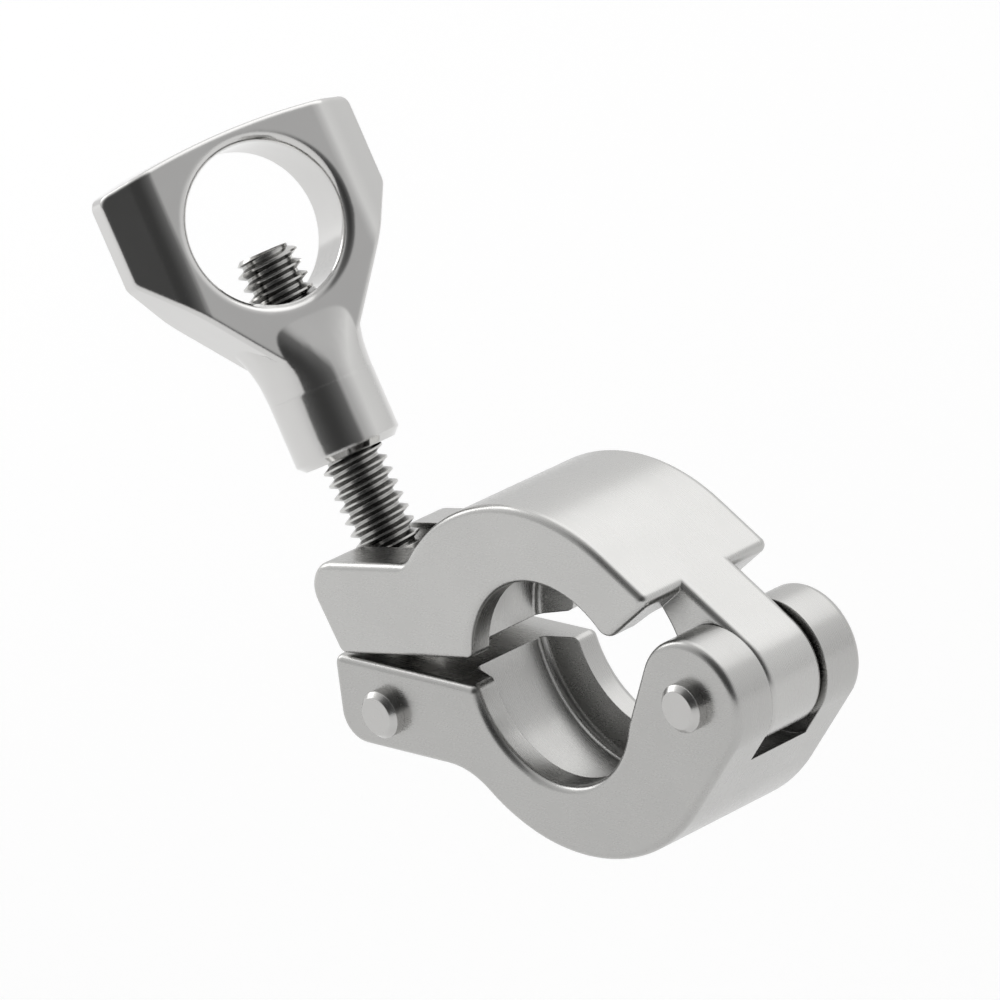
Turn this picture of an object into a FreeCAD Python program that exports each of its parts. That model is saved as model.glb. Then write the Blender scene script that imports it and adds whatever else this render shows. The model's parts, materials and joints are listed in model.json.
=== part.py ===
"""Single-pin clamp for small sanitary tube ferrules, closed, with its swing bolt leaning out.

Millimetres. The origin is the centre of the bore, half way along it. +X points to the hinge,
+Y runs along the bore and +Z points up, to the wing nut. The lower jaw's split face is level.
"""
import FreeCAD, Part
import math
import os

# Bore, groove and body width
WIDTH = 17.0
LIP_RADIUS = 10.0
GROOVE_DEPTH = 3.5
GROOVE_MOUTH = 11.4
FLANK_ANGLE = 20.0
GROOVE_CORNER = 0.9
EDGE_ROUND = 0.8
SPLIT_HEIGHT = -2.0
LIP_CORNER = 0.8

# Outer curves of the two half rings
LOWER_CURVE_RADIUS = 19.0
LOWER_CURVE_X = 2.2
LOWER_CURVE_Z = 2.2
UPPER_CURVE_RADIUS = 19.2
UPPER_CURVE_X = -1.5
UPPER_CURVE_Z = -1.9

# Hinge
HINGE_X = 18.2
HINGE_Z = 1.5
HINGE_PIN_RADIUS = 2.0
EAR_RADIUS = 6.1
EAR_INNER_SLOPE = 65.0
EAR_ROOT_ROUND = 5.0
TONGUE_RADIUS = 5.8
TONGUE_WIDTH = 7.1
TONGUE_SIDE_GAP = 0.2
TONGUE_BLEND = 2.0
ROUND_SHARE_OF_WALL = 0.45
CLEVIS_BOTTOM_GAP = 1.3
SHOULDER_ANGLE = 128.0
SHOULDER_GAP = 3.4
SHOULDER_ROUND = 1.4

# Lower lug, with the swing bolt's pin
BOLT_PIN_X = -22.1
BOLT_PIN_Z = -6.65
BOLT_PIN_RADIUS = 2.0
LUG_END = 6.6
LUG_BELOW_PIN = 4.1
LUG_TOP_ROUND = 1.0
LUG_BOTTOM_ROUND = 3.0
LUG_BLEND = 8.0
BOLT_SIDE_GAP = 0.33
SLOT_BEHIND_PIN = 4.9
SLOT_CORNER = 1.2

# Upper lug
LUG_TIP_GAP = 0.1
LUG_TIP_SETBACK = 1.1
LUG_SLOPE = 8.5
LUG_THICKNESS = 9.2
LUG_END_SLANT = 26.5
LUG_NOSE_ROUND = 3.0
LUG_ROOT_ROUND = 2.0

# Swing bolt
BOLT_DIAMETER = 6.35
BOLT_LENGTH = 44.5
BOLT_LEAN = 24.0
BOLT_END_CHAMFER = 0.7
EYE_RADIUS = 4.1
EYE_EDGE = 0.4
EYE_OVER_SHANK = 0.05

# Wing nut, with heights above its base
NUT_ON_BOLT = 23.6
NUT_TURN = -17.0
NUT_HEIGHT = 32.8
BARREL_RADIUS = 5.3
BARREL_HEIGHT = 7.0
BARREL_EDGE = 0.7
NECK_HEIGHT = 16.6
NECK_SINK = 0.35
NECK_SQUARENESS = 4.5
NECK_POINTS = 32
NECK_SECTIONS = 7
NUT_HOLE_RADIUS = 7.9
NUT_TOP_WALL = 1.6
NUT_HOLE_ROUND = 1.0
NUT_RIM_FLAT = 1.3
WING_SPAN = 27.8
WING_TOP_DROP = 1.3
WING_TIP_HEIGHT = 9.0
WING_CORNER = 1.2
WING_TIP_THICKNESS = 2.6
NUT_PLATE_THICKNESS = 8.0
WING_FOLD_ROUND = 3.8
WING_ROOT_HEIGHT = 11.7
WING_ROOT_BLEND = 8.0
WING_ROOT_SINK = 1.3
WING_EDGE = 0.5

# Rivet heads and fits
HEAD_OVERHANG = 0.35
HEAD_HEIGHT = 1.5
HEAD_CHAMFER = 0.5
RUNNING_CLEARANCE = 0.05
SEAM = 0.01

Y_AXIS = FreeCAD.Vector(0, 1, 0)
Z_AXIS = FreeCAD.Vector(0, 0, 1)
FLOOR_RADIUS = LIP_RADIUS + GROOVE_DEPTH
EYE_WIDTH = BOLT_DIAMETER + EYE_OVER_SHANK
LUG_SLOT = BOLT_DIAMETER + 2 * BOLT_SIDE_GAP
NUT_HOLE_HEIGHT = NUT_HEIGHT - NUT_TOP_WALL - NUT_HOLE_RADIUS
NUT_HUB = NUT_HOLE_RADIUS + NUT_HOLE_ROUND + NUT_RIM_FLAT
REACH = 4 * WIDTH


def point(x, z, y=0.0):
    """A point given by its place in the side view, and its place along the bore."""
    return FreeCAD.Vector(x, y, z)


def polar(centre, radius, degrees):
    """The point at a radius and an angle from a centre, in the side view."""
    angle = math.radians(degrees)
    return centre + point(radius * math.cos(angle), radius * math.sin(angle))


def angle_of(start, end):
    """The direction from one side-view point to another, in degrees."""
    return math.degrees(math.atan2(end.z - start.z, end.x - start.x))


def line(start, end):
    return Part.LineSegment(start, end).toShape()


def arc(centre, radius, first, last):
    """A side-view arc from one angle to another, in the order that they are given."""
    ends = [polar(centre, radius, degrees) for degrees in (first, (first + last) / 2, last)]
    return Part.Arc(*ends).toShape()


def prism(edges, width):
    """A side-view outline pulled out along the bore, half to each side."""
    wire = Part.Wire(Part.__sortEdges__(edges))
    face = Part.Face(wire)
    face.translate(-Y_AXIS * width / 2)
    return face.extrude(Y_AXIS * width)


def rod(centre, radius, width):
    """A cylinder along the bore's direction, half to each side."""
    return Part.makeCylinder(radius, width, centre - Y_AXIS * width / 2, Y_AXIS)


def outer_tangent(first, first_radius, second, second_radius, side):
    """The normal angle of a line that touches two circles on the same side, side being 1 or -1."""
    apart = math.hypot(second.x - first.x, second.z - first.z)
    turn = math.degrees(math.acos((first_radius - second_radius) / apart))
    return angle_of(first, second) + side * turn


def line_meets_circle(start, degrees, centre, radius):
    """Where a line that leaves start in a direction first crosses a circle."""
    angle = math.radians(degrees)
    along = point(math.cos(angle), math.sin(angle))
    to_centre = centre - start
    middle = to_centre.dot(along)
    off = to_centre.dot(to_centre) - middle ** 2
    return start + along * (middle - math.sqrt(radius ** 2 - off))


def round_corners(body, corners):
    """Round the edges that run along the bore at the given side-view points."""
    for place, radius in corners:
        edges = [
            edge for edge in body.Edges
            if all(math.hypot(v.X - place.x, v.Z - place.z) < 0.01 for v in edge.Vertexes)
        ]
        body = body.makeFillet(radius, edges)
    return body


def round_faces(body, width, radius):
    """Round the outline edges of the two end faces across the bore."""
    edges = [
        edge for edge in body.Edges
        if all(abs(abs(v.Y) - width / 2) < 0.001 for v in edge.Vertexes)
        and abs(abs(edge.CenterOfMass.y) - width / 2) < 0.001
    ]
    return body.makeFillet(radius, edges)


BORE = point(0, 0)
HINGE = point(HINGE_X, HINGE_Z)
BOLT_PIN = point(BOLT_PIN_X, BOLT_PIN_Z)
LOWER_CURVE = point(LOWER_CURVE_X, LOWER_CURVE_Z)
UPPER_CURVE = point(UPPER_CURVE_X, UPPER_CURVE_Z)


def groove():
    """The V groove as a ring-shaped tool, open towards the bore."""
    slope = math.tan(math.radians(FLANK_ANGLE))
    inside = LIP_RADIUS - EDGE_ROUND
    mouth = GROOVE_MOUTH / 2 + (LIP_RADIUS - inside) * slope
    floor = GROOVE_MOUTH / 2 - GROOVE_DEPTH * slope
    corners = [
        FreeCAD.Vector(inside, -mouth, 0),
        FreeCAD.Vector(FLOOR_RADIUS, -floor, 0),
        FreeCAD.Vector(FLOOR_RADIUS, floor, 0),
        FreeCAD.Vector(inside, mouth, 0),
    ]
    ring = Part.Face(Part.makePolygon(corners + corners[:1])).revolve(BORE, Y_AXIS, 360)
    around = 2 * math.pi * FLOOR_RADIUS
    rims = [edge for edge in ring.Edges if abs(edge.Length - around) < 0.001]
    return ring.makeFillet(GROOVE_CORNER, rims)


def lug_slot(inner_end, low, high):
    """A slot tool, open to -X, with its inner end at the given X and rounded in plan."""
    slot = Part.makeBox(
        REACH, LUG_SLOT, high - low, FreeCAD.Vector(inner_end - REACH, -LUG_SLOT / 2, low))
    edges = [
        edge for edge in slot.Edges
        if all(abs(v.X - inner_end) < 0.001 for v in edge.Vertexes)
        and abs(edge.Vertexes[0].Z - edge.Vertexes[1].Z) > 1
    ]
    return slot.makeFillet(SLOT_CORNER, edges)


def lower_outline():
    """The lower jaw's side outline, and its corners with their radii."""
    left = BOLT_PIN_X - LUG_END
    bottom = BOLT_PIN_Z - LUG_BELOW_PIN
    lip_left = point(-math.sqrt(LIP_RADIUS ** 2 - SPLIT_HEIGHT ** 2), SPLIT_HEIGHT)
    ear_left = polar(HINGE, EAR_RADIUS, EAR_INNER_SLOPE + 90)
    lip_right = line_meets_circle(ear_left, EAR_INNER_SLOPE + 180, BORE, LIP_RADIUS)
    normal = outer_tangent(LOWER_CURVE, LOWER_CURVE_RADIUS, HINGE, EAR_RADIUS, -1)
    drop = bottom - LOWER_CURVE_Z
    curve_left = point(LOWER_CURVE_X - math.sqrt(LOWER_CURVE_RADIUS ** 2 - drop ** 2), bottom)
    tip_top = point(left, SPLIT_HEIGHT)
    tip_bottom = point(left, bottom)
    edges = [
        line(tip_top, lip_left),
        arc(BORE, LIP_RADIUS, angle_of(BORE, lip_left) + 360, angle_of(BORE, lip_right) + 360),
        line(lip_right, ear_left),
        arc(HINGE, EAR_RADIUS, EAR_INNER_SLOPE + 90, normal),
        line(polar(HINGE, EAR_RADIUS, normal), polar(LOWER_CURVE, LOWER_CURVE_RADIUS, normal)),
        arc(LOWER_CURVE, LOWER_CURVE_RADIUS, normal, angle_of(LOWER_CURVE, curve_left)),
        line(curve_left, tip_bottom),
        line(tip_bottom, tip_top),
    ]
    corners = [
        (tip_top, LUG_TOP_ROUND),
        (tip_bottom, LUG_BOTTOM_ROUND),
        (curve_left, LUG_BLEND),
        (lip_left, LIP_CORNER),
        (lip_right, EAR_ROOT_ROUND),
    ]
    return edges, corners


def lower_jaw():
    edges, corners = lower_outline()
    body = round_corners(prism(edges, WIDTH), corners)
    body = round_faces(body, WIDTH, EDGE_ROUND)
    clevis = TONGUE_WIDTH + 2 * TONGUE_SIDE_GAP
    bottom = TONGUE_RADIUS + CLEVIS_BOTTOM_GAP
    opening = Part.makeBox(
        2 * bottom, clevis, 2 * bottom, HINGE - FreeCAD.Vector(bottom, clevis / 2, 0))
    slot = lug_slot(BOLT_PIN_X + SLOT_BEHIND_PIN, -REACH, REACH)
    tools = [
        groove(),
        rod(HINGE, bottom, clevis).fuse(opening),
        slot,
        rod(HINGE, HINGE_PIN_RADIUS, REACH),
        rod(BOLT_PIN, BOLT_PIN_RADIUS, REACH),
    ]
    for tool in tools:
        body = body.cut(tool)
    return body


def lug_frame():
    """The upper lug's lower outer corner, and the directions along it and across it."""
    corner = point(BOLT_PIN_X - LUG_END + LUG_TIP_SETBACK, SPLIT_HEIGHT + LUG_TIP_GAP)
    slope = math.radians(LUG_SLOPE)
    return corner, point(math.cos(slope), math.sin(slope)), point(-math.sin(slope), math.cos(slope))


def shoulder_plane():
    """A point on the shoulders' end plane, the direction along it and the one away from the pin."""
    away = polar(BORE, 1, SHOULDER_ANGLE)
    start = HINGE + away * (EAR_RADIUS + SHOULDER_GAP)
    return start, polar(BORE, 1, SHOULDER_ANGLE + 90), away


def top_tangent():
    """The normal angle of the flat that joins the upper jaw's curve to its tongue."""
    return outer_tangent(UPPER_CURVE, UPPER_CURVE_RADIUS, HINGE, TONGUE_RADIUS, 1)


def upper_body():
    """The upper half ring with its lug, cut off at the shoulders."""
    tip, along, across = lug_frame()
    slant = polar(BORE, 1, 90 + LUG_END_SLANT)
    nose = tip + slant * (LUG_THICKNESS / slant.dot(across))
    lip_left = line_meets_circle(tip, LUG_SLOPE, BORE, LIP_RADIUS)
    root = line_meets_circle(nose, LUG_SLOPE, UPPER_CURVE, UPPER_CURVE_RADIUS)
    start, down, away = shoulder_plane()
    lip_right = line_meets_circle(start - down * REACH, SHOULDER_ANGLE + 90, BORE, LIP_RADIUS)
    normal = top_tangent()
    flat = polar(UPPER_CURVE, UPPER_CURVE_RADIUS, normal)
    outward = polar(BORE, 1, normal)
    top = start + down * ((flat - start).dot(outward) / down.dot(outward))
    edges = [
        line(tip, lip_left),
        arc(BORE, LIP_RADIUS, angle_of(BORE, lip_left) % 360, angle_of(BORE, lip_right)),
        line(lip_right, top),
        line(top, flat),
        arc(UPPER_CURVE, UPPER_CURVE_RADIUS, normal, angle_of(UPPER_CURVE, root)),
        line(root, nose),
        line(nose, tip),
    ]
    corners = [
        (tip, LUG_TOP_ROUND),
        (nose, LUG_NOSE_ROUND),
        (root, LUG_ROOT_ROUND),
        (lip_left, LIP_CORNER),
        (lip_right, SHOULDER_ROUND),
        (top, EDGE_ROUND),
    ]
    body = round_corners(prism(edges, WIDTH), corners)
    return round_faces(body, WIDTH, EDGE_ROUND)


def tongue():
    """The hinge tongue, from well inside the half ring to its round end on the pin."""
    normal = top_tangent()
    start = polar(UPPER_CURVE, UPPER_CURVE_RADIUS, normal)
    apart = math.hypot(HINGE_X, HINGE_Z)
    spread = math.degrees(math.acos(
        (apart ** 2 + FLOOR_RADIUS ** 2 - TONGUE_RADIUS ** 2) / (2 * apart * FLOOR_RADIUS)))
    meet = polar(BORE, FLOOR_RADIUS, angle_of(BORE, HINGE) + spread)
    floor_start = polar(BORE, FLOOR_RADIUS, angle_of(BORE, start))
    edges = [
        line(start, polar(HINGE, TONGUE_RADIUS, normal)),
        arc(HINGE, TONGUE_RADIUS, normal, angle_of(HINGE, meet) - 360),
        arc(BORE, FLOOR_RADIUS, angle_of(BORE, meet), angle_of(BORE, floor_start)),
        line(floor_start, start),
    ]
    body = round_corners(prism(edges, TONGUE_WIDTH), [(meet, TONGUE_BLEND)])
    wall = start.Length - FLOOR_RADIUS
    return round_faces(body, TONGUE_WIDTH, min(EDGE_ROUND, ROUND_SHARE_OF_WALL * wall))


def upper_jaw():
    slot = lug_slot(BOLT_PIN_X + SLOT_BEHIND_PIN, -REACH, REACH)
    body = upper_body().fuse(tongue()).removeSplitter()
    tools = [groove(), slot, rod(HINGE, HINGE_PIN_RADIUS + RUNNING_CLEARANCE, REACH)]
    for tool in tools:
        body = body.cut(tool)
    return body


def rivet(centre, radius):
    """A cross pin with a chamfered button head against each side of the lower jaw."""
    head = radius + HEAD_OVERHANG
    face = WIDTH / 2
    end = face + HEAD_HEIGHT
    corners = [
        FreeCAD.Vector(0, 0, 0),
        FreeCAD.Vector(radius, 0, 0),
        FreeCAD.Vector(radius, face, 0),
        FreeCAD.Vector(head, face, 0),
        FreeCAD.Vector(head, end - HEAD_CHAMFER, 0),
        FreeCAD.Vector(head - HEAD_CHAMFER, end, 0),
        FreeCAD.Vector(0, end, 0),
    ]
    one = Part.Face(Part.makePolygon(corners + corners[:1])).revolve(BORE, Y_AXIS, 360)
    pin = one.fuse(one.mirror(BORE, Y_AXIS)).removeSplitter()
    pin.translate(centre)
    return pin


def lean_out(shape, turn=0.0):
    """Place a shape built upright on the origin on the swing bolt's leaning axis."""
    shape.rotate(FreeCAD.Vector(0, 0, 0), Z_AXIS, turn)
    shape.rotate(FreeCAD.Vector(0, 0, 0), Y_AXIS, -BOLT_LEAN)
    shape.translate(BOLT_PIN)
    return shape


def eye_bolt():
    radius = BOLT_DIAMETER / 2
    shank = Part.makeCylinder(radius, BOLT_LENGTH)
    end = [edge for edge in shank.Edges if abs(edge.CenterOfMass.z - BOLT_LENGTH) < 0.001]
    shank = shank.makeChamfer(BOLT_END_CHAMFER, end)
    eye = rod(point(0, 0), EYE_RADIUS, EYE_WIDTH)
    eye = eye.makeChamfer(EYE_EDGE, [edge for edge in eye.Edges if len(edge.Vertexes) == 1])
    hole = rod(point(0, 0), BOLT_PIN_RADIUS + RUNNING_CLEARANCE, REACH)
    return lean_out(shank.fuse(eye).cut(hole).removeSplitter())


def wing_tip():
    """The lower and upper corners of the right wing's tip."""
    top = NUT_HEIGHT - WING_TOP_DROP
    return point(WING_SPAN / 2, top - WING_TIP_HEIGHT), point(WING_SPAN / 2, top)


def wing_slant():
    """The angle of the wing's lower edge from upright."""
    low = wing_tip()[0]
    return math.atan((low.x - BARREL_RADIUS) / (low.z - WING_ROOT_HEIGHT))


def nut_half_width(height):
    """Half the nut's width at a height: the barrel, a round blend, and the slant up to the wing tip."""
    slant = wing_slant()
    reach = WING_ROOT_BLEND * math.tan(slant / 2)
    above = height - (WING_ROOT_HEIGHT - reach)
    if above <= 0:
        return BARREL_RADIUS
    if height > WING_ROOT_HEIGHT + reach * math.cos(slant):
        return BARREL_RADIUS + (height - WING_ROOT_HEIGHT) * math.tan(slant)
    return BARREL_RADIUS + WING_ROOT_BLEND - math.sqrt(WING_ROOT_BLEND ** 2 - above ** 2)


def wing_bottom():
    """The height of the head's flat lower end, inside the neck."""
    return WING_ROOT_HEIGHT - WING_ROOT_SINK


def nut_outline():
    """The nut's head in front view: slanted wings from inside the neck, upright tips and a bowed top."""
    low, high = wing_tip()
    root = point(BARREL_RADIUS - WING_ROOT_SINK * math.tan(wing_slant()), wing_bottom())
    right = [line(point(0, root.z), root), line(root, low), line(low, high)]
    left = [edge.mirror(point(0, 0), FreeCAD.Vector(1, 0, 0)) for edge in right]
    top = Part.Arc(high, point(0, NUT_HEIGHT), point(-high.x, high.z)).toShape()
    corners = [point(side * end.x, end.z) for side in (1, -1) for end in (low, high)]
    return right + [top] + left, corners


def nut_taper():
    """The head seen from above: full thickness round the cross hole, folded back to thin tips."""
    half = WING_SPAN / 2
    plan = []
    for side in (1, -1):
        thick = side * NUT_PLATE_THICKNESS / 2
        tip = side * WING_TIP_THICKNESS / 2
        plan += [
            FreeCAD.Vector(-side * half, tip, 0), FreeCAD.Vector(-side * NUT_HUB, thick, 0),
            FreeCAD.Vector(side * NUT_HUB, thick, 0), FreeCAD.Vector(side * half, tip, 0),
        ]
    body = Part.Face(Part.makePolygon(plan + plan[:1])).extrude(Z_AXIS * NUT_HEIGHT)
    folds = [edge for edge in body.Edges if is_upright_at(edge, NUT_HUB)]
    return body.makeFillet(WING_FOLD_ROUND, folds)


def is_upright_at(edge, across):
    """True for an upright edge at a distance to the left or right of the nut's axis."""
    box = edge.BoundBox
    return box.XLength < SEAM and box.YLength < SEAM and abs(abs(box.Center.x) - across) < SEAM


def nut_head():
    """The two wings and the plate round the cross hole."""
    edges, corners = nut_outline()
    plate = round_corners(prism(edges, REACH), [(corner, WING_CORNER) for corner in corners])
    head = plate.common(nut_taper())
    head = head.makeFillet(WING_EDGE, [edge for edge in head.Edges if is_wing_edge(edge)])
    head = head.cut(rod(point(0, NUT_HOLE_HEIGHT), NUT_HOLE_RADIUS, REACH))
    around = 2 * math.pi * NUT_HOLE_RADIUS
    rims = [edge for edge in head.Edges if abs(edge.Length - around) < 0.001]
    return head.makeFillet(NUT_HOLE_ROUND, rims)


def is_wing_edge(edge):
    """True for an outline edge of the head's front or back, above its flat lower end."""
    middle = edge.CenterOfMass
    inside = abs(middle.x) < WING_SPAN / 2 - SEAM
    fold = inside and is_upright_at(edge, abs(middle.x))
    lower_end = middle.z < wing_bottom() + SEAM
    return abs(middle.y) > SEAM and not lower_end and not fold


def neck_section(height):
    """The neck's cross section, going from the barrel's circle to a squarer, flatter oval."""
    share = max(0.0, (height - BARREL_HEIGHT) / (NECK_HEIGHT - BARREL_HEIGHT))
    ease = share * share * (3 - 2 * share)
    flat = NUT_PLATE_THICKNESS / 2 - NECK_SINK
    wide = nut_half_width(height) - SEAM - NECK_SINK * share ** 3
    deep = BARREL_RADIUS - SEAM + (flat - BARREL_RADIUS) * ease
    power = 2 + (NECK_SQUARENESS - 2) * ease
    points = []
    for step in range(NECK_POINTS):
        across = math.cos(2 * math.pi * step / NECK_POINTS)
        along = math.sin(2 * math.pi * step / NECK_POINTS)
        size = (abs(across) ** power + abs(along) ** power) ** (-1 / power)
        points.append(FreeCAD.Vector(wide * size * across, deep * size * along, height))
    curve = Part.BSplineCurve()
    curve.interpolate(Points=points, PeriodicFlag=True)
    return Part.Wire([curve.toShape()])


def barrel():
    """The round barrel, chamfered at its base and lofted above into the head."""
    body = Part.makeCylinder(BARREL_RADIUS, BARREL_HEIGHT)
    base = [edge for edge in body.Edges if abs(edge.CenterOfMass.z) < 0.001]
    body = body.makeChamfer(BARREL_EDGE, base)
    rise = (NECK_HEIGHT - BARREL_HEIGHT) / NECK_SECTIONS
    sections = [neck_section(BARREL_HEIGHT + rise * step) for step in range(-1, NECK_SECTIONS + 1)]
    body = body.fuse(Part.makeLoft(sections, True, False))
    return body.cut(rod(point(0, NUT_HOLE_HEIGHT), NUT_HOLE_RADIUS, REACH))


def wing_nut():
    body = barrel().fuse(nut_head())
    bore = Part.makeCylinder(BOLT_DIAMETER / 2 + RUNNING_CLEARANCE, NUT_HOLE_HEIGHT)
    body = body.cut(bore).removeSplitter()
    body.translate(Z_AXIS * NUT_ON_BOLT)
    return lean_out(body, 90 + NUT_TURN)


def main():
    os.makedirs("parts", exist_ok=True)
    pieces = {
        "lower_jaw": lower_jaw(),
        "upper_jaw": upper_jaw(),
        "hinge_pin": rivet(HINGE, HINGE_PIN_RADIUS),
        "bolt_pin": rivet(BOLT_PIN, BOLT_PIN_RADIUS),
        "eye_bolt": eye_bolt(),
        "wing_nut": wing_nut(),
    }
    for name, shape in pieces.items():
        print(name, len(shape.Solids), shape.isValid(), round(shape.Volume, 1))
        shape.exportStep("parts/" + name + ".step")


main()
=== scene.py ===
import json
import math

import bpy
from mathutils import Matrix, Vector


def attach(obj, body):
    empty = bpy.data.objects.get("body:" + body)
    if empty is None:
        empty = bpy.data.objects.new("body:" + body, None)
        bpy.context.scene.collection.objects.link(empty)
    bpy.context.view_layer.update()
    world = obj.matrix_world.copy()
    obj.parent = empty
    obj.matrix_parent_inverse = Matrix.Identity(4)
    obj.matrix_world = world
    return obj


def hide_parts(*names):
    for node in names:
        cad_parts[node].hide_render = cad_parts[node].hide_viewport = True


bl_info = {
    "name": "Sanitary clamp",
    "version": (1, 0, 0),
    "blender": (4, 5, 0),
    "location": "3D View > Sidebar > Clamp",
    "description": "Finishes, screw thread and studio for a single-pin sanitary clamp",
    "category": "Object",
}

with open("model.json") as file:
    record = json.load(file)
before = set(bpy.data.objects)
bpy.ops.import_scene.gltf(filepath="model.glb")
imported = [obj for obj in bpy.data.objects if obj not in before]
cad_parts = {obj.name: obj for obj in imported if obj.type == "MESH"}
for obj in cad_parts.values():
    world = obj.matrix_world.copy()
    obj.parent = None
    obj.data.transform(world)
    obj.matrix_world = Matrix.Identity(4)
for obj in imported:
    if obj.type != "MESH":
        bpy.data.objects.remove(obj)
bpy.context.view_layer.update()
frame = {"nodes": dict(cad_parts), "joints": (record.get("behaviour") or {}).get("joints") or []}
joints = {joint["name"]: joint for joint in frame["joints"]}

# Millimetres and degrees, as Blender holds them
MM = 0.001
DEGREE = math.pi / 180

# The pins' places and the swing bolt's line, from the joints
BOLT_PIN = Vector(joints["bolt_swing"]["pos_m"])
HINGE_PIN = Vector(joints["jaw_hinge"]["pos_m"])
BOLT_LINE = Vector(joints["nut_turn"]["axis"]).normalized()

# Thread profile from root to root: outwards in thread depths, upwards in pitches
THREAD_PROFILE = ((0, 0.25), (1, 0.3), (0, 0.15), (-1, 0.3))
SPARE_TURNS = 4
SMOOTH_ANGLE = 32 * DEGREE

# Points closer than this are one point: on the CAD bolt, on the thread, after the union
CAD_MERGE = 0.0005 * MM
THREAD_MERGE = 0.001 * MM
SLIVER = 0.002 * MM

# Grain of the steels: sizes of their patterns
BELT_LINE = 0.09 * MM
STRAIGHT_LINE = 0.11 * MM
TURNING_RING = 0.12 * MM
CLOUD = 2.5 * MM
RIPPLE = 5 * MM
PATCH = 7 * MM

# Wear and the painted shade of hollows: how far they reach, and their share of the steel's colour
WORN_EDGE = 0.4 * MM
# Painted shade: how far ambient occlusion looks for the hollows that darken the colour
PAINTED_SHADE_REACH = 7 * MM
WORN_SHADE = 1.02
PATCH_SHADE = 0.96
# Painted shade: the deepest hollows darken to this share of the steel's colour
PAINTED_HOLLOW_SHADE = 0.12

# Studio, in metres: floor, lamps as place, size and watts, and the photograph's point of view
FLOOR_RADIUS = 20.0
FLOOR_ROUGHNESS = 0.9
LAMPS = {
    "overhead_softbox": ((0.0, 0.6, 1.2), (1.5, 1.1), 3.0),
    "left_softbox": ((-1.3, -0.2, 0.7), (0.5, 0.9), 3.0),
}
UNLIT_TOWARDS = Vector((0.52, -0.742, 0.423)).normalized()
CAMERA_PLACE = Vector((520.8, -504.3, 276.0)) * MM
CAMERA_TARGET = Vector((-12.0, 0.0, 13.5)) * MM
CAMERA_UP = Vector((-0.1416, 0.3077, 0.9409))


class SwingBoltSizes(bpy.types.PropertyGroup):
    """Sizes of the swing bolt's screw thread."""

    diameter: bpy.props.FloatProperty(
        name="Thread diameter", description="Across the crests of the thread",
        default=6.32 * MM, unit="LENGTH")
    pitch: bpy.props.FloatProperty(
        name="Pitch", description="From one crest to the next",
        default=1.27 * MM, unit="LENGTH")
    depth: bpy.props.FloatProperty(
        name="Thread depth", description="From crest to root",
        default=0.74 * MM, unit="LENGTH")
    start: bpy.props.FloatProperty(
        name="Plain shank", description="From the eye's pin to the first turn",
        default=13.5 * MM, unit="LENGTH")
    end_chamfer: bpy.props.FloatProperty(
        name="End chamfer", description="Chamfer on the bolt's free end",
        default=0.75 * MM, unit="LENGTH")
    steps: bpy.props.IntProperty(
        name="Steps", description="Straight steps in one turn of the thread",
        default=44)


class SteelFinish(bpy.types.PropertyGroup):
    """Colours and gloss of the clamp's steels."""

    upper_colour: bpy.props.FloatVectorProperty(
        name="Upper jaw colour", description="Satin cast steel of the upper jaw",
        default=(0.53, 0.527, 0.516), subtype="COLOR")
    # Painted shade: the lower jaw's colour is the upper jaw's darkened by about a tenth, standing
    # for the shadowed floor that it mirrors
    lower_colour_with_painted_shade: bpy.props.FloatVectorProperty(
        name="Lower jaw colour", description="Slightly darker satin steel of the lower jaw",
        default=(0.475, 0.472, 0.462), subtype="COLOR")
    jaw_roughness: bpy.props.FloatProperty(
        name="Jaw roughness", description="Lowest roughness of the satin jaws",
        default=0.24, subtype="FACTOR")
    nut_colour: bpy.props.FloatVectorProperty(
        name="Nut colour", description="Mirror-polished steel of the wing nut",
        default=(0.64, 0.635, 0.625), subtype="COLOR")
    nut_roughness: bpy.props.FloatProperty(
        name="Nut roughness", description="Lowest roughness of the polished nut",
        default=0.07, subtype="FACTOR")
    bolt_colour: bpy.props.FloatVectorProperty(
        name="Bolt colour", description="Rolled steel of the swing bolt",
        default=(0.60, 0.595, 0.58), subtype="COLOR")
    bolt_roughness: bpy.props.FloatProperty(
        name="Bolt roughness", description="Lowest roughness of the swing bolt",
        default=0.16, subtype="FACTOR")
    pin_colour: bpy.props.FloatVectorProperty(
        name="Pin colour", description="Turned steel of the two pins",
        default=(0.54, 0.535, 0.525), subtype="COLOR")
    pin_roughness: bpy.props.FloatProperty(
        name="Pin roughness", description="Lowest roughness of the two pins",
        default=0.2, subtype="FACTOR")


class StudioSettings(bpy.types.PropertyGroup):
    """Floor, room and lens."""

    floor_colour: bpy.props.FloatVectorProperty(
        name="Floor colour", description="Pale floor that runs out of sight",
        default=(0.92, 0.92, 0.92), subtype="COLOR")
    floor_glow: bpy.props.FloatProperty(
        name="Floor glow", description="Lift of the floor to white, seen but not lighting the clamp",
        default=0.16)
    walls: bpy.props.FloatProperty(
        name="Walls", description="Brightness of the room at eye level, which the metal mirrors",
        default=0.8)
    ceiling: bpy.props.FloatProperty(
        name="Ceiling", description="Brightness of the room overhead",
        default=1.1)
    dark_side: bpy.props.FloatProperty(
        name="Dark side", description="Brightness of the unlit room in front of the clamp",
        default=0.12)
    lens: bpy.props.FloatProperty(
        name="Lens", description="Focal length in millimetres on a 36 mm sensor",
        default=300.0)


# Material nodes
def add_node(tree, kind, inputs=None, **settings):
    """A shader node with its settings, and its inputs set or linked."""
    node = tree.nodes.new(kind)
    for name, value in settings.items():
        setattr(node, name, value)
    for name, value in (inputs or {}).items():
        if isinstance(value, bpy.types.NodeSocket):
            tree.links.new(value, node.inputs[name])
        else:
            node.inputs[name].default_value = value
    return node


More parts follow.
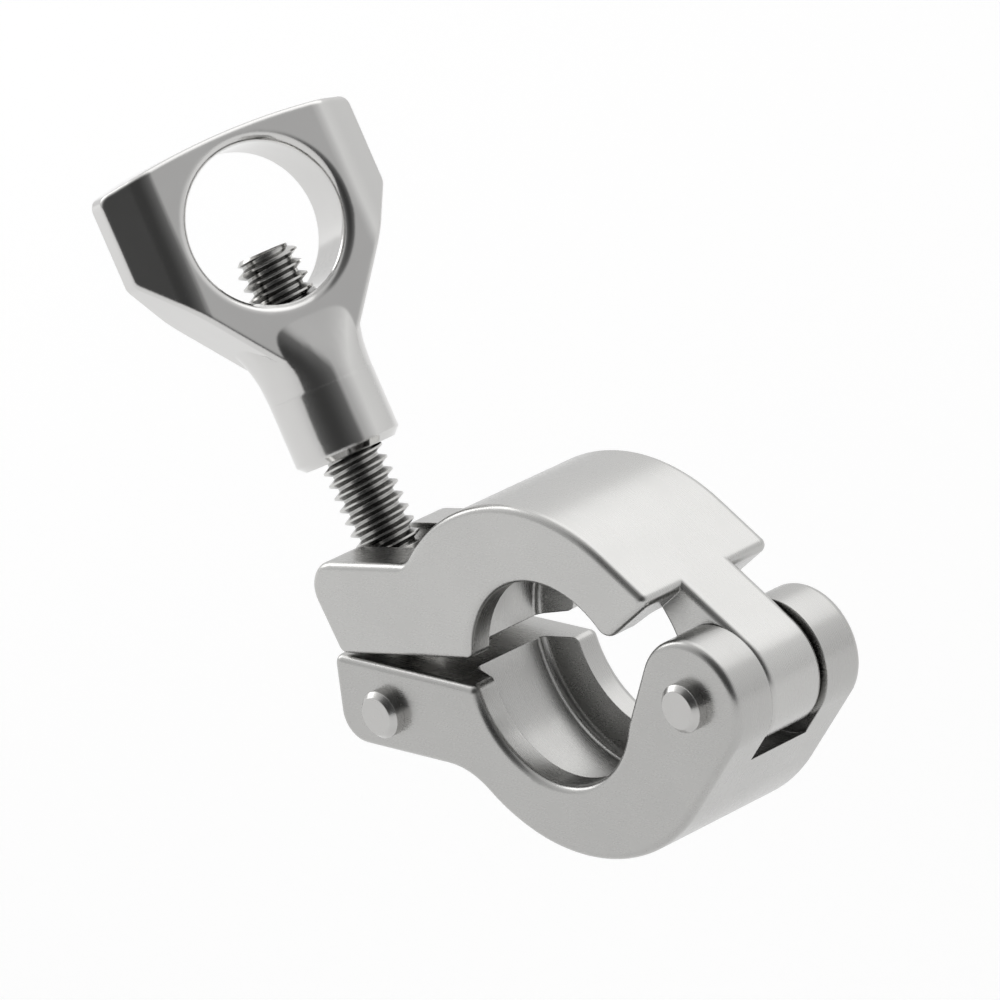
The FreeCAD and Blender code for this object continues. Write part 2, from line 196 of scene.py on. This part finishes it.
def maths(tree, operation, first, second=0.0):
    return add_node(
        tree, "ShaderNodeMath", {0: first, 1: second}, operation=operation).outputs[0]


def noise(tree, place, size, detail=2.0):
    """Soft noise with blotches about as wide as size."""
    return add_node(
        tree, "ShaderNodeTexNoise",
        {"Vector": place, "Scale": 1.0 / size, "Detail": detail}).outputs["Fac"]


def between(tree, value, low, high, first=0.25, last=0.75):
    """The value carried from first..last to low..high."""
    return add_node(tree, "ShaderNodeMapRange", {
        "Value": value, "From Min": first, "From Max": last,
        "To Min": low, "To Max": high}).outputs["Result"]


def from_centre(tree, centre, scale):
    """Object coordinates from a centre, stretched by a scale along each axis."""
    place = add_node(tree, "ShaderNodeTexCoord").outputs["Object"]
    moved = add_node(
        tree, "ShaderNodeVectorMath", {0: place, 1: tuple(centre)}, operation="SUBTRACT")
    return add_node(
        tree, "ShaderNodeVectorMath", {0: moved.outputs[0], 1: scale},
        operation="MULTIPLY").outputs[0]


def blend(tree, factor, first, second):
    """A number between two numbers."""
    return add_node(
        tree, "ShaderNodeMix", {0: factor, 2: first, 3: second}, data_type="FLOAT").outputs[0]


def tint(tree, factor, dark, light):
    """A colour between two colours."""
    mix = add_node(tree, "ShaderNodeMix", data_type="RGBA")
    tree.links.new(factor, mix.inputs[0])
    for socket, colour in ((mix.inputs[6], dark), (mix.inputs[7], light)):
        if isinstance(colour, bpy.types.NodeSocket):
            tree.links.new(colour, socket)
        else:
            socket.default_value = (*colour, 1.0)
    return mix.outputs[2]


def shade(colour, factor):
    return tuple(factor * channel for channel in colour)


def bevelled_normal(tree, radius):
    return add_node(tree, "ShaderNodeBevel", {"Radius": radius}, samples=6).outputs[0]


def bumped(tree, height, depth, normal):
    """The normal, tilted by a height pattern of the given depth."""
    return add_node(tree, "ShaderNodeBump", {
        "Height": height, "Strength": 1.0, "Distance": depth, "Normal": normal}).outputs[0]


# Steels
def edge_mask(tree):
    """1 on the edges, where a wide bevel's normal leaves the surface's own."""
    own = add_node(tree, "ShaderNodeNewGeometry").outputs["Normal"]
    match = add_node(
        tree, "ShaderNodeVectorMath", {0: bevelled_normal(tree, WORN_EDGE), 1: own},
        operation="DOT_PRODUCT")
    return between(tree, match.outputs["Value"], 1.0, 0.0, 0.80, 0.985)


def polish_lines(tree):
    """Belt lines round the outer faces, and straight ones along the two end faces."""
    belt = noise(tree, from_centre(tree, (0, 0, 0), (0.02, 1.0, 0.02)), BELT_LINE, 3.0)
    straight = noise(tree, from_centre(tree, (0, 0, 0), (0.03, 1.0, 1.0)), STRAIGHT_LINE, 3.0)
    normal = add_node(tree, "ShaderNodeNewGeometry").outputs["Normal"]
    across = add_node(tree, "ShaderNodeSeparateXYZ", {0: normal}).outputs["Y"]
    end_face = between(tree, maths(tree, "ABSOLUTE", across), 0.0, 1.0, 0.7, 0.9)
    return blend(tree, end_face, belt, straight)


def steel(name, colour, roughness, ripple, lines, spread, edge=0.15 * MM, pattern=polish_lines):
    """Steel with cast ripple, polishing lines, painted shade in its hollows and worn bright edges.

    ripple and lines are depths of the surface's waves and lines, spread is the range
    of its roughness, and edge is the radius of its softened edges.
    """
    material = bpy.data.materials.new(name)
    material.use_nodes = True
    tree = material.node_tree
    shader = tree.nodes["Principled BSDF"]
    shader.inputs["Metallic"].default_value = 1.0
    place = from_centre(tree, (0, 0, 0), (1, 1, 1))
    scratch = pattern(tree)
    worn = edge_mask(tree)

    # Painted shade: the base colour darkens towards hollows that ambient occlusion finds within the
    # piece
    hollow = add_node(
        tree, "ShaderNodeAmbientOcclusion", {"Distance": PAINTED_SHADE_REACH}, samples=6,
        only_local=True).outputs["AO"]
    open_air = between(tree, hollow, 0.0, 1.0, 0.35, 0.85)
    patchy = tint(
        tree, between(tree, noise(tree, place, PATCH), 0.0, 1.0),
        shade(colour, PATCH_SHADE), colour)
    painted_recess_shade = tint(tree, open_air, shade(colour, PAINTED_HOLLOW_SHADE), patchy)
    tree.links.new(
        tint(tree, worn, painted_recess_shade, shade(colour, WORN_SHADE)), shader.inputs["Base Color"])

    cloudy = between(tree, noise(tree, place, CLOUD, 4.0), 0.0, spread)
    streaky = between(tree, scratch, 0.0, spread)
    dull = maths(tree, "ADD", maths(tree, "ADD", cloudy, streaky), roughness)
    tree.links.new(
        maths(tree, "SUBTRACT", dull, maths(tree, "MULTIPLY", worn, spread)),
        shader.inputs["Roughness"])

    rippled = bumped(
        tree, noise(tree, place, RIPPLE, 1.0), ripple, bevelled_normal(tree, edge))
    tree.links.new(bumped(tree, scratch, lines, rippled), shader.inputs["Normal"])
    return material


def turned_steel(name, colour, roughness, centre):
    """Pin steel with fine turning rings round the pin's own axis."""
    def rings(tree):
        flat = from_centre(tree, centre, (1, 0, 1))
        radius = add_node(
            tree, "ShaderNodeVectorMath", {0: flat}, operation="LENGTH").outputs["Value"]
        return add_node(tree, "ShaderNodeTexNoise", {
            "W": radius, "Scale": 1 / TURNING_RING, "Detail": 2.0},
            noise_dimensions="1D").outputs["Fac"]
    return steel(
        name, colour, roughness, ripple=0.004 * MM, lines=0.003 * MM, spread=0.05,
        pattern=rings)


def use_finish(node, material):
    """Give a CAD node one finish in every slot."""
    for slot in frame["nodes"][node].material_slots:
        slot.material = material


# Modelling
def start_clean():
    """Object mode, with nothing selected."""
    if bpy.context.object and bpy.context.object.mode != "OBJECT":
        bpy.ops.object.mode_set(mode="OBJECT")
    bpy.ops.object.select_all(action="DESELECT")


def pick(piece):
    """Object mode, with one piece selected and active."""
    start_clean()
    piece.select_set(True)
    bpy.context.view_layer.objects.active = piece


def edit_all():
    """Edit mode on the active piece, with all of it selected."""
    bpy.ops.object.mode_set(mode="EDIT")
    bpy.ops.mesh.select_all(action="SELECT")


def apply_modifier(piece, kind, **settings):
    """Add a modifier with its settings, and apply it."""
    modifier = piece.modifiers.new(kind.title(), kind)
    for name, value in settings.items():
        setattr(modifier, name, value)
    bpy.context.view_layer.objects.active = piece
    bpy.ops.object.modifier_apply(modifier=modifier.name)


def join(piece, operation, other):
    """Unite the piece with another, or trim it to the other, which is used up."""
    apply_modifier(piece, "BOOLEAN", operation=operation, solver="MANIFOLD", object=other)
    bpy.data.objects.remove(other)


class CLAMP_OT_jaws(bpy.types.Operator):
    """Finish the two cast jaws in satin steel"""
    bl_idname = "clamp.jaws"
    bl_label = "Satin jaws"

    def execute(self, context):
        finish = context.scene.clamp_finish
        # The lower jaw's darker colour is painted shade
        for jaw, colour in (
                ("upper_jaw", finish.upper_colour), ("lower_jaw", finish.lower_colour_with_painted_shade)):
            use_finish(jaw, steel(
                jaw + "_satin_steel", tuple(colour), finish.jaw_roughness,
                ripple=0.006 * MM, lines=0.0008 * MM, spread=0.035))
        return {"FINISHED"}


class CLAMP_OT_pins(bpy.types.Operator):
    """Finish the hinge pin and the bolt pin in turned steel"""
    bl_idname = "clamp.pins"
    bl_label = "Turned pins"

    def execute(self, context):
        finish = context.scene.clamp_finish
        for node, centre in (("hinge_pin", HINGE_PIN), ("bolt_pin", BOLT_PIN)):
            use_finish(node, turned_steel(
                node + "_steel", tuple(finish.pin_colour), finish.pin_roughness, centre))
        return {"FINISHED"}


class CLAMP_OT_wing_nut(bpy.types.Operator):
    """Finish the wing nut in mirror-polished steel"""
    bl_idname = "clamp.wing_nut"
    bl_label = "Polished wing nut"

    def execute(self, context):
        finish = context.scene.clamp_finish
        use_finish("wing_nut", steel(
            "mirror_polished_steel", tuple(finish.nut_colour), finish.nut_roughness,
            ripple=0.05 * MM, lines=0.0002 * MM, spread=0.02, edge=0.4 * MM))
        return {"FINISHED"}


class CLAMP_OT_swing_bolt(bpy.types.Operator):
    """Model the eye bolt with its screw thread"""
    bl_idname = "clamp.swing_bolt"
    bl_label = "Threaded eye bolt"

    def plain_end(self, sizes):
        """The CAD bolt's eye and plain shank, cut off where the thread starts."""
        piece = frame["nodes"]["eye_bolt"].copy()
        piece.data = piece.data.copy()
        piece.parent = None
        piece.name = "swing_bolt"
        piece.data.materials.clear()
        for key in list(piece.keys()):
            del piece[key]
        bpy.context.scene.collection.objects.link(piece)
        pick(piece)
        edit_all()
        bpy.ops.mesh.customdata_custom_splitnormals_clear()
        bpy.ops.mesh.remove_doubles(threshold=CAD_MERGE)
        bpy.ops.mesh.select_all(action="SELECT")
        bpy.ops.mesh.bisect(
            plane_co=BOLT_PIN + BOLT_LINE * sizes.start, plane_no=BOLT_LINE,
            use_fill=True, clear_outer=True)
        bpy.ops.object.mode_set(mode="OBJECT")
        return piece

    def threaded_rod(self, sizes, length):
        """A closed rod with a helical thread, upright on the origin from below 0 to length."""
        start_clean()
        root = sizes.diameter / 2 - sizes.depth
        lead = 2 * sizes.pitch
        bpy.ops.mesh.primitive_plane_add(size=MM, location=(root, 0, -lead))
        rod = bpy.context.object
        edit_all()
        bpy.ops.mesh.merge(type="CENTER")
        for across, up in THREAD_PROFILE:
            bpy.ops.mesh.extrude_region_move(TRANSFORM_OT_translate={
                "value": (across * sizes.depth, 0, up * sizes.pitch)})
        bpy.ops.object.mode_set(mode="OBJECT")
        bpy.ops.object.transform_apply(location=True, rotation=True, scale=True)
        apply_modifier(
            rod, "SCREW", axis="Z", angle=360 * DEGREE, screw_offset=sizes.pitch,
            iterations=math.ceil(length / sizes.pitch) + SPARE_TURNS,
            steps=sizes.steps, render_steps=sizes.steps)
        edit_all()
        bpy.ops.mesh.remove_doubles(threshold=THREAD_MERGE)
        for height, above in ((-sizes.pitch / 4, False), (length, True)):
            bpy.ops.mesh.select_all(action="SELECT")
            bpy.ops.mesh.bisect(
                plane_co=(0, 0, height), plane_no=(0, 0, 1), use_fill=True,
                clear_outer=above, clear_inner=not above)
        bpy.ops.mesh.select_all(action="SELECT")
        bpy.ops.mesh.normals_make_consistent(inside=False)
        bpy.ops.object.mode_set(mode="OBJECT")
        return rod

    def trimming_bar(self, sizes, length):
        """A round bar that the rod is trimmed to, chamfered at its upper end."""
        start_clean()
        spare = sizes.pitch / 4
        bpy.ops.mesh.primitive_cylinder_add(
            vertices=2 * sizes.steps, radius=sizes.diameter / 2 + spare, depth=2 * length,
            location=(0, 0, 0))
        bar = bpy.context.object
        bpy.ops.object.mode_set(mode="EDIT")
        bpy.ops.mesh.select_all(action="DESELECT")
        bpy.ops.object.mode_set(mode="OBJECT")
        for face in bar.data.polygons:
            face.select = face.center.z > length / 2 and face.normal.z > 0.9
        bpy.ops.object.mode_set(mode="EDIT")
        bpy.ops.mesh.bevel(
            offset=sizes.end_chamfer + spare, offset_type="OFFSET", segments=1, affect="EDGES")
        bpy.ops.object.mode_set(mode="OBJECT")
        bpy.ops.object.transform_apply(location=True, rotation=True, scale=True)
        return bar

    def execute(self, context):
        sizes = context.scene.clamp_swing_bolt
        finish = context.scene.clamp_finish
        along = [BOLT_LINE.dot(v.co - BOLT_PIN) for v in frame["nodes"]["eye_bolt"].data.vertices]
        length = max(along) - sizes.start
        bolt = self.plain_end(sizes)
        rod = self.threaded_rod(sizes, length)
        join(rod, "INTERSECT", self.trimming_bar(sizes, length))
        pick(rod)
        rod.rotation_euler = Vector((0, 0, 1)).rotation_difference(BOLT_LINE).to_euler()
        rod.location = BOLT_PIN + BOLT_LINE * sizes.start
        bpy.ops.object.transform_apply(location=True, rotation=True, scale=True)
        join(bolt, "UNION", rod)
        pick(bolt)
        edit_all()
        bpy.ops.mesh.remove_doubles(threshold=SLIVER)
        bpy.ops.mesh.dissolve_degenerate(threshold=SLIVER)
        bpy.ops.object.mode_set(mode="OBJECT")
        bpy.ops.object.shade_smooth_by_angle(angle=SMOOTH_ANGLE)
        bolt.data.materials.clear()
        bolt.data.materials.append(steel(
            "rolled_thread_steel", tuple(finish.bolt_colour), finish.bolt_roughness,
            ripple=0.01 * MM, lines=0.001 * MM, spread=0.05, edge=0.05 * MM))
        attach(bolt, "eye_bolt")
        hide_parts("eye_bolt")
        return {"FINISHED"}


class CLAMP_OT_studio(bpy.types.Operator):
    """Set the pale floor, the soft lamps, the surround and the camera"""
    bl_idname = "clamp.studio"
    bl_label = "Studio"

    def floor(self, colour, glow):
        """A pale floor, just below all that the swing bolt and its nut can reach."""
        start_clean()
        reach = max((v.co - BOLT_PIN).length for v in frame["nodes"]["wing_nut"].data.vertices)
        bpy.ops.mesh.primitive_circle_add(
            vertices=96, radius=FLOOR_RADIUS, fill_type="NGON",
            location=(0, 0, BOLT_PIN.z - reach))
        floor = bpy.context.object
        floor.name = "studio_floor"
        material = bpy.data.materials.new("pale_floor")
        material.use_nodes = True
        tree = material.node_tree
        shader = tree.nodes["Principled BSDF"]
        shader.inputs["Base Color"].default_value = (*colour, 1.0)
        shader.inputs["Roughness"].default_value = FLOOR_ROUGHNESS
        shader.inputs["Emission Color"].default_value = (1.0, 1.0, 1.0, 1.0)
        ray = add_node(tree, "ShaderNodeLightPath").outputs
        mirrored = maths(tree, "MAXIMUM", ray["Is Glossy Ray"], ray["Is Transmission Ray"])
        seen = maths(tree, "MAXIMUM", ray["Is Camera Ray"], mirrored)
        tree.links.new(maths(tree, "MULTIPLY", seen, glow), shader.inputs["Emission Strength"])
        floor.data.materials.append(material)

    def lamp(self, name, place, size, power):
        """A soft square lamp that looks at the clamp."""
        data = bpy.data.lights.new(name, "AREA")
        data.shape = "RECTANGLE"
        data.size, data.size_y = size
        data.energy = power
        lamp = bpy.data.objects.new(name, data)
        lamp.location = place
        lamp.rotation_euler = (-Vector(place)).to_track_quat("-Z", "Y").to_euler()
        bpy.context.scene.collection.objects.link(lamp)

    def surround(self, walls, ceiling, dark_side):
        """A pale room, paler overhead, with its unlit side in front of the clamp."""
        world = bpy.context.scene.world or bpy.data.worlds.new("surround")
        bpy.context.scene.world = world
        world.use_nodes = True
        tree = world.node_tree
        tree.nodes.clear()
        place = add_node(tree, "ShaderNodeTexCoord").outputs["Generated"]
        up = add_node(tree, "ShaderNodeSeparateXYZ", {0: place}).outputs["Z"]
        facing = add_node(
            tree, "ShaderNodeVectorMath", {0: place, 1: UNLIT_TOWARDS},
            operation="DOT_PRODUCT").outputs["Value"]
        lit = between(tree, up, walls, ceiling, 0.0, 0.8)
        fading = between(tree, facing, 1.0, 0.6, 0.1, 0.55)
        unlit = between(tree, facing, 0.0, 1.0, 0.6, 0.72)
        depths = between(tree, facing, 1.6 * dark_side, 0.5 * dark_side, 0.7, 0.98)
        level = blend(tree, unlit, maths(tree, "MULTIPLY", lit, fading), depths)
        room = add_node(tree, "ShaderNodeBackground", {"Strength": level})
        room.inputs["Color"].default_value = (1.0, 1.0, 1.0, 1.0)
        add_node(tree, "ShaderNodeOutputWorld", {"Surface": room.outputs[0]})

    def camera(self, lens):
        """The photograph's point of view and up direction, aimed at the clamp's middle."""
        data = bpy.data.cameras.new("studio_camera")
        data.lens = lens
        data.sensor_width = 36.0
        data.clip_start = 0.01
        camera = bpy.data.objects.new("studio_camera", data)
        back = (CAMERA_PLACE - CAMERA_TARGET).normalized()
        right = CAMERA_UP.cross(back).normalized()
        camera.matrix_world = Matrix.Translation(CAMERA_PLACE) @ Matrix(
            (right, back.cross(right), back)).transposed().to_4x4()
        bpy.context.scene.collection.objects.link(camera)
        bpy.context.scene.camera = camera

    def execute(self, context):
        studio = context.scene.clamp_studio
        self.floor(tuple(studio.floor_colour), studio.floor_glow)
        self.surround(studio.walls, studio.ceiling, studio.dark_side)
        for name, (place, size, power) in LAMPS.items():
            self.lamp(name, place, size, power)
        self.camera(studio.lens)
        context.scene.view_settings.view_transform = "Standard"
        return {"FINISHED"}


class CLAMP_PT_pieces(bpy.types.Panel):
    """The clamp's pieces and its studio"""
    bl_label = "Sanitary clamp"
    bl_idname = "CLAMP_PT_pieces"
    bl_space_type = "VIEW_3D"
    bl_region_type = "UI"
    bl_category = "Clamp"

    def draw(self, context):
        layout = self.layout
        scene = context.scene
        for operator in OPERATORS:
            layout.operator(operator.bl_idname)
        for group in (scene.clamp_swing_bolt, scene.clamp_finish, scene.clamp_studio):
            box = layout.box()
            for name in group.bl_rna.properties.keys():
                if name not in ("rna_type", "name"):
                    box.prop(group, name)


OPERATORS = (
    CLAMP_OT_jaws, CLAMP_OT_pins, CLAMP_OT_wing_nut, CLAMP_OT_swing_bolt, CLAMP_OT_studio)
GROUPS = {
    "clamp_swing_bolt": SwingBoltSizes,
    "clamp_finish": SteelFinish,
    "clamp_studio": StudioSettings,
}


def register():
    for group in GROUPS.values():
        bpy.utils.register_class(group)
    for operator in OPERATORS:
        bpy.utils.register_class(operator)
    bpy.utils.register_class(CLAMP_PT_pieces)
    for name, group in GROUPS.items():
        setattr(bpy.types.Scene, name, bpy.props.PointerProperty(type=group))


def unregister():
    for name in GROUPS:
        delattr(bpy.types.Scene, name)
    bpy.utils.unregister_class(CLAMP_PT_pieces)
    for operator in reversed(OPERATORS):
        bpy.utils.unregister_class(operator)
    for group in reversed(list(GROUPS.values())):
        bpy.utils.unregister_class(group)


def main():
    register()
    bpy.ops.clamp.jaws()
    bpy.ops.clamp.pins()
    bpy.ops.clamp.wing_nut()
    bpy.ops.clamp.swing_bolt()
    bpy.ops.clamp.studio()


if __name__ == "__main__":
    main()
